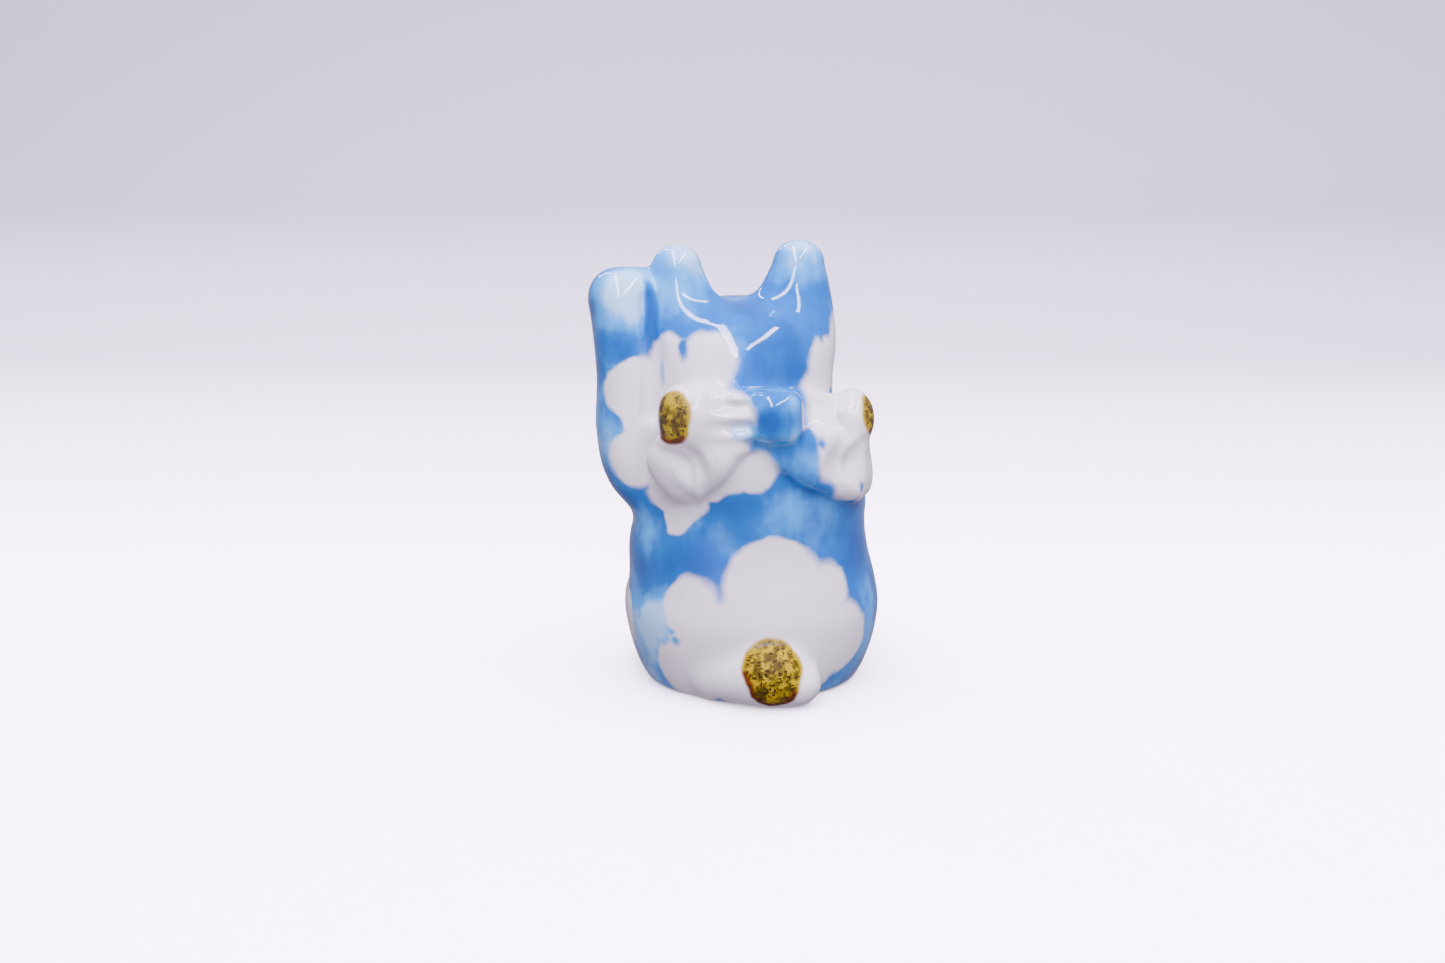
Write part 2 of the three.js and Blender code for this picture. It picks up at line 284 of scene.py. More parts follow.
trunk = turned(BODY_OUTLINE, BODY_DEPTH, (0, 0))
PIECES = {
    "body_shell": [
        trunk,
        ball((11.6, 0, 31), (14.6, 17, 11)),
        ball((6, 17.8, 53), (9.4, 6.6, 8)),
        ball((14, -14, 14), (11, 13, 11.5)),
        ball((-14, -14, 14), (11, 13, 11.5)),
    ],
    "head_shell": [
        turned(HEAD_OUTLINE, HEAD_DEPTH, (HEAD_X, HEAD_Y)),
        ball((HEAD_X - 3, -19.2, 62.6), (4.8, 4.4, 4.2)),
        ball((HEAD_X + 3, -19.2, 62.6), (4.8, 4.4, 4.2)),
        ball((HEAD_X, -22.4, 65.4), (1.9, 1.4, 1.3)),
    ],
    "left_ear": [ear(1)],
    "right_ear": [ear(-1)],
    "raised_left_arm": [
        limb(
            [
                (18.5, 0, 40, 5, 6), (25.6, 0, 47.5, 6.6, 7.6), (28.2, 0, 57, 6.5, 7.4),
                (28.5, 0, 69, 6, 6.9), (28.7, -1.2, 81, 6.6, 7.2), (28.8, -2.6, 87, 7.2, 7.8),
                (28.8, -3, 92.4, 7.2, 7.4),
            ],
            (1, 0, 0),
            power=2.4,
        ),
        ball((22.6, -3.5, 87.5), (2.6, 3, 4)),
    ],
    "lowered_right_arm": [
        limb(
            [
                (-19, -6, 49, 6.5, 6.5), (-21.5, -14, 41, 6.4, 6), (-15.5, -21.5, 34.5, 5.8, 5.2),
                (-5, -25.5, 34, 6.2, 5.4),
            ],
            (0, 0, 1),
        )
    ],
    "left_foot": [ball((11.5, -24, 5.0), (7.2, 8.5, 5.6), 2.4)],
    "right_foot": [ball((-11.5, -24, 5.0), (7.2, 8.5, 5.6), 2.4)],
    "tail": [
        limb(
            [
                (15, 15, 4.6, 4, 4), (8, 21.6, 6, 5.6, 5.6), (1.6, 24.6, 6.9, 7, 6.9),
                (-5, 23.8, 5.6, 5.4, 5.6),
            ],
            (0, 0, 1),
        ),
        ball((-3.6, 25, 5.2), (5.6, 6.5, 5.2)),
    ],
    "collar_ribbon": [collar()],
    "bow_left_end": [
        limb(
            [
                (9, 22.8, 61, 4, 3), (14.5, 21.4, 56.5, 7, 3.6), (20, 17.2, 52, 7.6, 3.6),
                (23, 13, 48.6, 6.6, 3.4),
            ],
            (0.8, -0.6, 0),
            power=2.3,
            relief=cupped,
        )
    ],
    "bow_right_end": [
        limb(
            [
                (1, 23.4, 58.5, 4, 3), (-8, 22.8, 54, 6.6, 3.6), (-16.2, 18.2, 51.2, 7.6, 3.6),
                (-22.4, 10, 49.2, 6.8, 3),
            ],
            (0.25, 0, 1),
            power=2.3,
            relief=cupped,
        )
    ],
    "bow_left_loop": [
        limb(
            [
                (2, 21.8, 63.8, 5.6, 4), (9, 21.6, 63.6, 6.7, 5.2), (17, 19, 63.4, 7, 5.9),
                (23.4, 15, 63.2, 6.5, 5.6),
            ],
            (0, 0, 1),
            power=2.3,
            relief=gathered,
        )
    ],
    "bow_right_loop": [
        limb(
            [
                (-2, 19, 63.6, 4.4, 2), (-8, 15.6, 62.6, 4.8, 1.6), (-12.5, 13.6, 61.2, 5, 2.2),
                (-17, 10.6, 60, 5, 2.6),
            ],
            (0, 0, 1),
        ),
        ball((-19, 12.8, 60.2), (4.9, 6.2, 6.4)),
        ball((-19.4, 13.6, 55), (2.6, 3, 3.4)),
        ball((-9.5, 15.4, 58.6), (5.4, 4.2, 4.6)),
        fold((-14.6, 18.2, 64), (-16.4, 18.4, 60), (-19.8, 15.6, 53.6), radius=1.2),
    ],
    "bow_knot": [
        ball((1.2, 24.2, 66.2), (6, 6.2, 4), 2.4),
        ball((1, 24, 61.8), (6, 5.9, 3.6), 2.4),
    ],
    "bell": [
        ball((HEAD_X / 2, -24.4, 50.4), (4.2, 4.2, 4.2)),
        ball((HEAD_X / 2, -24.4, 51), (4.8, 4.8, 0.9), 3.0),
    ],
}  # fmt: skip
RAISED_PAW_TOES = [
    groove((x, -9.6, 80), (x, -10.6, 86), (x, -9.4, 91.4)) for x in (28.8 - 2.4, 28.8 + 2.4)
]
FOOT_TOES = [
    groove((x, -32.4, 2.6), (x, -32, 6), (x, -28.5, 10.2)) for x in (-13.8, -9.2, 9.2, 13.8)
]
LOWERED_PAW_TOES = [
    groove((-5, -31.2, z), (-1, -30.2, z), (1.6, -26.5, z)) for z in (32.2, 36)
]
BELL_SLOT = groove((HEAD_X / 2, -29, 49), (HEAD_X / 2, -26.5, 46.2), radius=0.5)
# The crease between the raised arm and the head.
ARM_CREASE = groove(
    (24, 4.6, 88), (23.8, 5.6, 80), (23.8, 6.4, 72), (24.4, 6.4, 60), radius=1.8
)

# ---- one glazed skin -------------------------------------------------------------------
everywhere, x, y, z = window(GRID_LOW, GRID_HIGH)
ear_hollows = [ball((HEAD_X + side * 13.6, -8.6, 87.5), (3.8, 4.8, 6.2)) for side in (1, -1)]
head = empty()
melt(head, PIECES["head_shell"], 3.5)
melt(head, PIECES["left_ear"] + PIECES["right_ear"], 5)
carve(head, ear_hollows, 1.5)

skin = empty()
melt(skin, PIECES["body_shell"], 6)
melt(skin, PIECES["raised_left_arm"] + PIECES["lowered_right_arm"], 4)
melt(skin, PIECES["left_foot"] + PIECES["right_foot"] + PIECES["tail"][:1], 3)
melt(skin, PIECES["tail"][1:], 1.2)
melt(skin, [(everywhere, head)], 1.8)
carve(skin, [ARM_CREASE], 2.0)
melt(skin, PIECES["collar_ribbon"], 1.4)
melt(skin, PIECES["bow_left_end"] + PIECES["bow_right_end"], 2.0)

knot = empty()
melt(knot, PIECES["bow_knot"], 2.6)
bow = empty()
melt(bow, PIECES["bow_left_loop"], 1.6)
melt(bow, PIECES["bow_right_loop"], 1.3)
melt(bow, [(everywhere, knot)], 1.0)
melt(skin, [(everywhere, bow)], 2.6)

melt(skin, PIECES["bell"], 0.6)
carve(skin, RAISED_PAW_TOES + FOOT_TOES + LOWERED_PAW_TOES + [BELL_SLOT], 1.0)

cavity = np.maximum(trunk[1] + WALL, np.maximum(WALL - z, z - CAVITY_TOP))
pour_hole = np.maximum(np.hypot(x, y) - POUR_RADIUS, z - 2 * WALL)
skin = np.maximum(skin, np.maximum(-cavity, -pour_hole))
skin = np.maximum(skin, -z)  # the flat foot
for _ in range(2):
    for k in range(3):
        skin = (np.roll(skin, 1, k) + 2 * skin + np.roll(skin, -1, k)) / 4

grid = openvdb.FloatGrid(FAR)
grid.copyFromArray(np.ascontiguousarray(skin, dtype=np.float32))
points, quads = grid.convertToQuads(0.0)
points = points.astype(float) * VOXEL + GRID_LOW
slope = [field.astype(np.float32) for field in np.gradient(skin, VOXEL)]


def outward(at):
    """The skin's unit normals at points."""
    normal = np.stack([sample(field, everywhere, at) for field in slope], axis=1)
    return normal / np.linalg.norm(normal, axis=1)[:, None]


points -= sample(skin, everywhere, points)[:, None] * outward(points)
triangles = np.concatenate([quads[:, [0, 1, 2]], quads[:, [0, 2, 3]]]).astype(int)

# ---- split along the slip lines ----------------------------------------------------------
# Each point belongs to the piece whose own surface is nearest, and a triangle between two or
# three pieces is cut where they are equally near.
NAMES = list(PIECES)
near = np.stack(
    [
        np.min([sample(field, spans, points) for spans, field in shapes], axis=0)
        for shapes in PIECES.values()
    ]
)
label = near.argmin(axis=0)
corner = label[triangles]
plain = (corner == corner[:, :1]).all(axis=1)
uncut = {k: triangles[plain & (corner[:, 0] == k)] for k in range(len(NAMES))}
extra = {k: [] for k in range(len(NAMES))}
cuts, cut_points = {}, []


def cut(i, j):
    """The number of the point where a slip line crosses the edge between two points."""
    i, j = min(i, j), max(i, j)
    if (i, j) not in cuts:
        here = near[label[j], i] - near[label[i], i]
        there = near[label[i], j] - near[label[j], j]
        part = min(max(here / max(here + there, 1e-6), 0.05), 0.95)
        cuts[i, j] = len(points) + len(cut_points)
        cut_points.append(points[i] * (1 - part) + points[j] * part)
    return cuts[i, j]


for trio in triangles[~plain]:
    tags = label[trio]
    if len(set(tags)) == 3:
        middle = len(points) + len(cut_points)
        cut_points.append(points[trio].mean(axis=0))
        for k in range(3):
            one, after, before = trio[k], trio[(k + 1) % 3], trio[(k + 2) % 3]
            extra[tags[k]] += [(one, cut(one, after), middle), (one, middle, cut(before, one))]
        continue
    odd = next(k for k in range(3) if (tags == tags[k]).sum() == 1)
    one, after, before = trio[odd], trio[(odd + 1) % 3], trio[(odd + 2) % 3]
    leave, enter = cut(one, after), cut(before, one)
    extra[tags[odd]].append((one, leave, enter))
    extra[label[after]] += [(leave, after, before), (leave, before, enter)]
points = np.concatenate([points, cut_points])
normals = outward(points)


def closed_piece(patch):
    """Closes a patch of skin: each rim is pushed in by RIM_DEPTH and capped with a fan."""
    used, local = np.unique(patch, return_inverse=True)
    local = local.reshape(-1, 3)
    place, facing = points[used], normals[used]
    edges = np.concatenate([local[:, [0, 1]], local[:, [1, 2]], local[:, [2, 0]]])
    known = set(map(tuple, edges))
    follow = {}  # the point or points that come next after each point along a rim
    for a, b in edges:
        if (b, a) not in known:
            follow.setdefault(a, []).append(b)
    verts, direction, caps = [place], [facing], [local]
    count = len(place)
    while follow:
        start = next(iter(follow))
        loop, at = [start], start
        while at in follow:
            after = follow[at].pop()
            if not follow[at]:
                del follow[at]
            at = after
            loop.append(at)
        loop = np.array(loop[:-1])
        inner = place[loop] - RIM_DEPTH * facing[loop]
        n = len(loop)
        a, b = loop, np.roll(loop, -1)
        c, d = count + np.arange(n), count + np.roll(np.arange(n), -1)
        middle = np.full(n, count + n)
        caps += [np.stack(t, axis=1) for t in ((b, a, c), (b, c, d), (d, c, middle))]
        verts += [inner, inner.mean(axis=0)[None]]
        direction += [facing[loop], facing[loop].mean(axis=0)[None]]
        count += n + 1
    return np.concatenate(verts), np.concatenate(direction), np.concatenate(caps)


def add_mesh(name, place, facing, faces):
    """An object from points in mm about the body's axis, their normals and its triangles."""
    mesh = bpy.data.meshes.new(name)
    mesh.from_pydata(((place + AXIS) * MM).tolist(), [], faces.tolist())
    mesh.shade_smooth()
    mesh.normals_split_custom_set_from_vertices(facing.tolist())
    thing = bpy.data.objects.new(name, mesh)
    bpy.context.scene.collection.objects.link(thing)
    return thing


made = {}
for k, name in enumerate(NAMES):
    patch = np.concatenate([uncut[k], np.array(extra[k], int).reshape(-1, 3)])
    made[name] = add_mesh(name + "_glazed", *closed_piece(patch))
    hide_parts(name)
    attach(made[name], "root")

# ---- glaze -----------------------------------------------------------------------------
# Paint is placed in mm about the body's axis. A blob is (x, y, z, radius).
CLOUDS = [
    # the big cloud over the lower back
    (18.4, 19.2, 21.5, 6.6), (18.2, 18, 7, 8.5), (1, 24.8, 26, 11), (-11.6, 22.6, 25, 5.4),
    (-14, 22, 13.5, 8.2), (4.8, 27, 12.4, 14), (13, 23, 13, 9.5), (-4, 27, 12.9, 13),
    # the left ribbon end and the back below it
    (19, 15.5, 46, 6.5), (20, 14.5, 41.8, 4), (20.6, 14.2, 39, 2), (16.5, 21, 51.5, 7),
    (11, 23, 52.5, 5.5), (5.5, 23.5, 52, 4.8), (22.6, 11, 45.4, 3.8),
    # the loops and the right ribbon end
    (24, 17, 63.4, 9), (16, 22, 63.6, 8.5), (11.4, 26.5, 65, 5), (-12.5, 20, 63.5, 5.4),
    (-18, 17, 61, 7), (-23, 11, 60, 9), (-13.6, 22, 54.8, 7), (-20.5, 17, 48, 5.6),
    (-15.5, 20, 50.5, 5.4), (-15.5, 22, 47, 3.6), (-20.6, 18.6, 45.6, 3), (-18, 18, 56, 4.5),
    # the back of the head
    (20.6, 8, 74, 5.2), (13.4, 14, 74.2, 6.4), (16, 15, 68, 7), (22, 7, 66, 8),
    (-18.5, -2, 72, 10.4), (-14.5, 9.5, 71.5, 6.2), (-12.5, 14.5, 66.5, 5.6),
    (15.5, 12, 71, 5.2),
    # the crease beside the raised arm, and the gaps between the parts of the bow
    (24.6, 9, 61.5, 5), (24.3, 10, 57, 5), (23.6, 12, 51.5, 5), (24.8, 6, 60, 5.4),
    (22.9, 7, 57, 4), (25, 17, 53.5, 6), (10.4, 26.5, 57, 3.6), (-10.4, 22.5, 61.4, 3.4),
    # the raised arm
    (27, 6, 67.4, 7), (26.5, 6, 52.6, 6.6), (22, 7, 60, 5.5),
    # the face, the chest, the belly, the paws and the inner ears
    (3, -20, 65, 15), (-9, -17, 60, 8), (15, -16, 60, 8), (3, -18, 77, 5.5), (0, -23, 42, 8),
    (0, -25, 29, 12), (9, -24, 20, 9), (-9, -24, 22, 9.5), (0, -24, 12, 10),
    (12, -29, 5, 8.5), (-12, -29, 5, 8.5), (-7, -29, 34, 7), (29.4, -9, 88, 6),
    (16.6, -9.4, 87.5, 4.6), (-10.6, -9.4, 87.5, 4.6),
    # the flanks and the right shoulder
    (-27, -3, 27, 6.5), (-26, -9, 20, 6), (-27, 2, 19, 6), (27, -8, 23, 6.5), (27, -2, 15, 6),
    (26, -12, 15, 5.5), (-23, -6, 56, 4),
]  # fmt: skip
# Blue that has spread or run down over the white.
DRIPS = [
    (-18.8, 20.4, 46.4, 1.2), (-6, 26, 58, 2.6), (-8.8, 25.2, 57.6, 1.4), (22.5, 14, 14, 2.2),
    (20.5, 16.5, 13.6, 1.4), (6.4, 27, 61.3, 2.8), (9.4, 27, 61.6, 1.8),
]  # fmt: skip
# The same in thin upright runs: the height of one is its radius divided by RUN_SQUASH.
RUNS = [
    (17.8, 10.2, 76.8, 1.15), (21.9, 6.4, 71, 0.9), (7, 13.4, 75, 0.6), (-12.6, 8.6, 79, 1),
]  # fmt: skip
RUN_SQUASH = 0.34
# Where the sky is deeper (more than 0) or paler (less than 0): (x, y, z, radius, amount).
# Most follow the glaze; those marked below are painted shade or painted light.
TINTS = [
    # the waist and the flanks
    (17, 17, 31, 10, 0.7), (8, 22, 39, 7, 0.25), (-20, 15, 30, 9, 0.6), (-14, 19, 38, 8, 0.15),
    # (26, 5, 10) and (24, 12, 17) are partly painted light: paler, making up for shade low on the
    # +x side
    (-8, 21, 44, 8, -0.1), (23, 3, 36, 9, -0.3), (26, 5, 10, 13, -0.7), (24, 12, 17, 9, -0.55),
    (-22, 13, 15, 8, -0.2),
    # the head, the ears and the raised arm
    (2, 16, 76, 6, 0.3), (2.6, 16, 71.5, 6.5, 0.5), (-5, 15, 72, 8, 0.7), (12, 8, 80, 5, 0.25),
    # (23, 4, 76) is painted shade in the crease between the raised arm and the head
    (3, 6, 83, 11, 0.55), (-4, 12, 78, 8, 0.4), (29, 6, 76, 5, 0.45), (23, 4, 76, 4, 0.5),
    (30, 5, 88, 11, -0.75), (16.5, 0, 94, 12, -0.55), (-10, 0, 94, 11, -0.4),
    (34, 2, 60, 16, -0.3),
    # the bow
    # painted shade in the crease across the knot at (3.4, 29.4, 64), and painted light on its
    # bottom at (-2, 29, 60)
    (-2, 29, 60, 3.4, -0.4), (3.4, 29.4, 64, 4, 0.9), (9, 27, 61.5, 4, -0.5),
    # painted shadow under the knot at (-1, 24, 57.5), and painted light on its top at (-2, 29.5,
    # 68)
    (-7, 24, 53, 4.4, -0.5), (-1, 24, 57.5, 4.6, 0.6), (-2, 29.5, 68, 3, -0.3),
]  # fmt: skip
# Painted shade: the sky is painted deeper about this upright line, in the crease between the
# raised arm and the head.
CREASE_SHADE_LINE = (23.2, 3.2, 0)  # the deep crease between the raised arm and the head
OCHRE_BLOBS = [
    # the tail, and the left and right loops
    (2.8, 30.6, 10.4, 7.1), (2.6, 31, 6, 5.6), (22.8, 21.4, 65, 5), (23, 21.2, 62.4, 4.6),
    (-23.6, 16, 61.8, 4.8),
]  # fmt: skip
BROWN_BLOBS = [
    (2.4, 31, 2.4, 5.4), (7, 30, 6, 4.2), (23, 21.2, 59.2, 3.6), (-24, 15.6, 57.4, 3.2),
]  # fmt: skip
# The painted face: (x from the middle, z, radius, half width, 1 for an upper arc or -1).
FACE_ARCS = [
    (-8.6, 68.6, 3.4, 0.55, 1), (8.6, 68.6, 3.4, 0.55, 1),
    (-1.9, 63.6, 1.9, 0.38, -1), (1.9, 63.6, 1.9, 0.38, -1),
]  # fmt: skip
NOSE = (HEAD_X, -23.6, 65.6)

PALE_SKY = (0.36, 0.67, 0.95)
LIGHT_SKY = (0.05, 0.36, 0.84)
MID_SKY = (0.002, 0.14, 0.49)
DEEP_SKY = (0.001, 0.085, 0.35)
PERIWINKLE = (0.03, 0.12, 0.50)
WHITE = (0.78, 0.775, 0.79)
OCHRE = (0.08, 0.055, 0.002)
YELLOW = (0.38, 0.285, 0.002)
BROWN = (0.12, 0.03, 0.002)
SPECK = (0.008, 0.006, 0.004)
BISQUE = (0.60, 0.54, 0.46)
ROSE = (0.42, 0.16, 0.15)
INK = (0.02, 0.02, 0.035)

GLAZE_IOR = 1.52
SHINE = 0.5  # the specular level: 0.5 leaves the reflections as the IOR gives them
TAIL_SHINE = 0.1
PATCH_ROUGHNESS = 0.5
BUMP_DEPTH = 0.05  # in mm


class Paint:
    """Builds a shader: each method adds one node, or a short chain of them."""

    def __init__(self, name):
        self.material = bpy.data.materials.new(name)
        self.material.use_nodes = True
        self.tree = self.material.node_tree
        self.bsdf = self.tree.nodes["Principled BSDF"]

    def put(self, value, socket):
        """Links a socket to another node's output, or sets it to a value."""
        if isinstance(value, bpy.types.NodeSocket):
            self.tree.links.new(value, socket)
        elif hasattr(value, "__len__") and socket.type == "RGBA":
            socket.default_value = (*value, 1)
        else:
            socket.default_value = value

    def add(self, kind, *values, **settings):
        """A node whose first inputs take the values in order, with None for one left alone."""
        node = self.tree.nodes.new(kind)
        for key, value in settings.items():
            setattr(node, key, value)
        for value, socket in zip(values, node.inputs):
            if value is not None:
                self.put(value, socket)
        return node

    def math(self, operation, *values):
        return self.add("ShaderNodeMath", *values, operation=operation).outputs[0]

    def vector(self, operation, *values):
        node = self.add("ShaderNodeVectorMath", *values, operation=operation)
        return node.outputs["Value" if operation in ("DISTANCE", "LENGTH") else "Vector"]

    def noise(self, at, stretch, detail=2.0):
        stretched = self.vector("MULTIPLY", at, stretch)
        return self.add("ShaderNodeTexNoise", stretched, None, 1.0, detail).outputs

    def ramp(self, value, low, high, at_low=0.0, at_high=1.0):
        """Runs smoothly from at_low to at_high as the value goes from low to high."""
        node = self.add("ShaderNodeMapRange", value, low, high, at_low, at_high)
        node.interpolation_type = "SMOOTHSTEP"
        return node.outputs[0]

    def mix(self, factor, a, b):
        node = self.tree.nodes.new("ShaderNodeMix")
        node.data_type = "RGBA"
        self.put(factor, node.inputs["Factor"])
        self.put(a, node.inputs[6])
        self.put(b, node.inputs[7])
        return node.outputs[2]

    def nearest(self, at, blobs, blend):
        """Distance in mm to the edge of a union of blobs, less than 0 inside it."""
        total = None
        for *centre, radius in blobs:
            away = self.math("SUBTRACT", self.vector("DISTANCE", at, centre), radius)
            total = away if total is None else self.math("SMOOTH_MIN", total, away, blend)
        return total


def place_in_mm(paint):
    """Object coordinates as mm about the body's axis."""
    coordinates = paint.add("ShaderNodeTexCoord").outputs["Object"]
    return paint.vector("MULTIPLY_ADD", coordinates, (1 / MM,) * 3, tuple(-AXIS))


def wandering(paint, at, size, amount):
    """The place moved by up to about `amount` mm, so that edges wander as brushed glaze does."""
    sway = paint.noise(at, (1 / size,) * 3)["Color"]
    centred = paint.vector("SUBTRACT", sway, (0.5, 0.5, 0.5))
    return paint.vector("MULTIPLY_ADD", centred, (2 * amount,) * 3, at)


def sky_colour(paint, at, deeper):
    """Cloudy blue: `depth` runs from 0, thin pale glaze, to 1, pooled glaze, with some painted
    shade and light.
    """
    depth = paint.ramp(paint.noise(at, (0.085,) * 3, 3)["Fac"], 0.3, 0.72, 0.28, 0.78)
    streaks = paint.noise(at, (0.6, 0.6, 0.06), 2)["Fac"]
    depth = paint.math("MULTIPLY_ADD", streaks, 0.2, paint.math("ADD", depth, deeper - 0.04))
    # The tints add glaze depth, and in a few places painted shade and painted light (see TINTS).
    for *centre, radius, amount in TINTS:
        away = paint.vector("DISTANCE", at, centre)
        depth = paint.math("ADD", depth, paint.ramp(away, 0, radius, amount, 0))
    # Painted shade: the sky is painted deeper close to the crease between the raised arm and the
    # head, from z 62 up.
    flat = paint.vector("MULTIPLY", at, (1, 1, 0))
    crease_shade = paint.ramp(paint.vector("DISTANCE", flat, CREASE_SHADE_LINE), 0.4, 2.2, 0.8, 0)
    parts = paint.add("ShaderNodeSeparateXYZ", at).outputs
    crease_shade = paint.math("MULTIPLY", crease_shade, paint.ramp(parts["Z"], 62, 66))
    depth = paint.math("ADD", depth, crease_shade)
    colour = paint.mix(paint.ramp(depth, 0.0, 0.3), PALE_SKY, LIGHT_SKY)
    colour = paint.mix(paint.ramp(depth, 0.25, 0.65), colour, MID_SKY)
    colour = paint.mix(paint.ramp(depth, 0.6, 1.1), colour, DEEP_SKY)
    violet = paint.ramp(paint.noise(at, (0.05,) * 3)["Fac"], 0.45, 0.75, 0, 0.5)
    violet = paint.math("MULTIPLY", violet, paint.ramp(parts["Z"], 40, 54, 1, 0))
    return paint.mix(violet, colour, PERIWINKLE)


def ochre_colour(paint, at, edge):
    """Speckled ochre with a yellow rim that turns brown where the glaze has run down.

    `edge` is the distance in mm to the edge of the patch, less than 0 inside it.
    """
    mottle = paint.noise(at, (0.5,) * 3, 3)["Fac"]
    colour = paint.mix(paint.ramp(mottle, 0.42, 0.62), OCHRE, YELLOW)
    colour = paint.mix(paint.ramp(edge, -1.4, -0.2), colour, YELLOW)
    runs = paint.nearest(at, BROWN_BLOBS, 0.5)
    rim = paint.ramp(edge, -1.9, -0.9)
    brown = paint.math("MULTIPLY", rim, paint.ramp(runs, -0.6, 0.6, 1, 0))
    colour = paint.mix(brown, colour, BROWN)
    bent = wandering(paint, at, 2.5, 0.5)
    specks = None
    for stretch in ((0.55, 0.55, 1.6), (1.5, 1.5, 0.6)):
        cells = paint.vector("MULTIPLY", bent, stretch)
        dashes = paint.add("ShaderNodeTexVoronoi", cells, None, 1.0).outputs["Distance"]
        dashes = paint.ramp(dashes, 0.25, 0.32, 1, 0)
        specks = dashes if specks is None else paint.math("MAXIMUM", specks, dashes)
    inner = paint.ramp(edge, -0.9, -0.4, 0.9, 0)
    return paint.mix(paint.math("MULTIPLY", specks, inner), colour, SPECK)


def face_lines(paint, at):
    """1 on the brushed lines of the closed eyes and the mouth, and 0 elsewhere."""
    flat = paint.vector("MULTIPLY", wandering(paint, at, 4, 0.3), (1, 0, 1))
    parts = paint.add("ShaderNodeSeparateXYZ", at).outputs
    lines = None
    for x, z, radius, width, up in FACE_ARCS:
        away = paint.vector("DISTANCE", flat, (HEAD_X + x, 0, z))
        off = paint.math("ABSOLUTE", paint.math("SUBTRACT", away, radius))
        stroke = paint.ramp(off, width - 0.2, width + 0.1, 1, 0)
        half = paint.ramp(paint.math("MULTIPLY", parts["Z"], up), up * z, up * z + 0.8)
        stroke = paint.math("MULTIPLY", stroke, half)
        lines = stroke if lines is None else paint.math("MAXIMUM", lines, stroke)
    return paint.math("MULTIPLY", lines, paint.ramp(parts["Y"], -13, -12, 1, 0))


def finish_glaze(paint, at, colour, matt=0.0, shine=SHINE):
    """Adds the bare clay under the foot and inside, the wavy surface and the gloss.

    `matt` is the least roughness, such as that of the speckled patches, and `shine` is the
    strength of the reflections.
    """
    parts = paint.add("ShaderNodeSeparateXYZ", at).outputs
    flat = paint.vector("MULTIPLY", at, (1, 1, 0))
    inner = paint.ramp(paint.vector("LENGTH", flat), 19.8, 20.2, 1, 0)
    inside = paint.math("MULTIPLY", inner, paint.ramp(parts["Z"], 50, 50.4, 1, 0))
    bare = paint.math("MAXIMUM", inside, paint.ramp(parts["Z"], 0.1, 0.5, 1, 0))
    grain = paint.noise(at, (3.0,) * 3, 3)["Fac"]
    clay = paint.mix(paint.ramp(grain, 0.3, 0.7), BISQUE, tuple(0.8 * c for c in BISQUE))
    paint.put(paint.mix(bare, colour, clay), paint.bsdf.inputs["Base Color"])
    smear = paint.ramp(paint.noise(at, (0.3,) * 3)["Fac"], 0.4, 0.8, 0.04, 0.09)
    roughness = paint.math("MAXIMUM", smear, paint.math("MULTIPLY", bare, 0.8))
    roughness = paint.math("MAXIMUM", roughness, matt)
    paint.put(roughness, paint.bsdf.inputs["Roughness"])
    swell = paint.noise(at, (0.16,) * 3, 1)["Fac"]
    peel = paint.math("MULTIPLY", paint.noise(at, (0.9,) * 3, 1)["Fac"], 0.04)
    height = paint.math("ADD", swell, peel)
    bump = paint.add("ShaderNodeBump")
    bump.inputs["Strength"].default_value = 1.0
    bump.inputs["Distance"].default_value = BUMP_DEPTH * MM
    paint.put(height, bump.inputs["Height"])
    paint.put(bump.outputs[0], paint.bsdf.inputs["Normal"])
    paint.bsdf.inputs["IOR"].default_value = GLAZE_IOR
    paint.bsdf.inputs["Specular IOR Level"].default_value = shine


def painted_glaze(name, clouds_from_y=-60, deeper=0.0, face=False, shine=SHINE):
    """White clouds, behind the given y, and ochre patches on sky blue."""
    paint = Paint(name)
    at = place_in_mm(paint)
    moved = wandering(paint, at, 5, 1.1)
    colour = sky_colour(paint, at, deeper)
    edge = paint.nearest(moved, CLOUDS, 1.2)
    runs = paint.nearest(moved, DRIPS, 1.0)
    edge = paint.math("MAXIMUM", edge, paint.math("MULTIPLY", runs, -1))
    squashed = paint.vector("MULTIPLY", moved, (1, 1, RUN_SQUASH))
    runs = paint.nearest(squashed, [(x, y, RUN_SQUASH * z, r) for x, y, z, r in RUNS], 0.5)
    edge = paint.math("MAXIMUM", edge, paint.math("MULTIPLY", runs, -1.6))
    parts = paint.add("ShaderNodeSeparateXYZ", moved).outputs
    edge = paint.math("MAXIMUM", edge, paint.math("SUBTRACT", clouds_from_y, parts["Y"]))
    soft = paint.ramp(paint.noise(at, (0.06,) * 3)["Fac"], 0.4, 0.65, 0.9, 2.6)
    part = paint.math("DIVIDE", edge, soft)
    colour = paint.mix(paint.ramp(part, -0.5, 0.6), WHITE, colour)
    ochre_edge = paint.nearest(wandering(paint, at, 3, 0.5), OCHRE_BLOBS, 0.8)
    ochre = ochre_colour(paint, at, ochre_edge)
    covered = paint.ramp(ochre_edge, -0.5, 0.4, 1, 0)
    colour = paint.mix(covered, colour, ochre)
    if face:
        tip = paint.vector("DISTANCE", at, NOSE)
        colour = paint.mix(paint.ramp(tip, 1.9, 2.4, 1, 0), colour, ROSE)
        colour = paint.mix(face_lines(paint, at), colour, INK)
    matt = paint.math("MULTIPLY", covered, PATCH_ROUGHNESS)
    finish_glaze(paint, at, colour, matt, shine)
    return paint.material


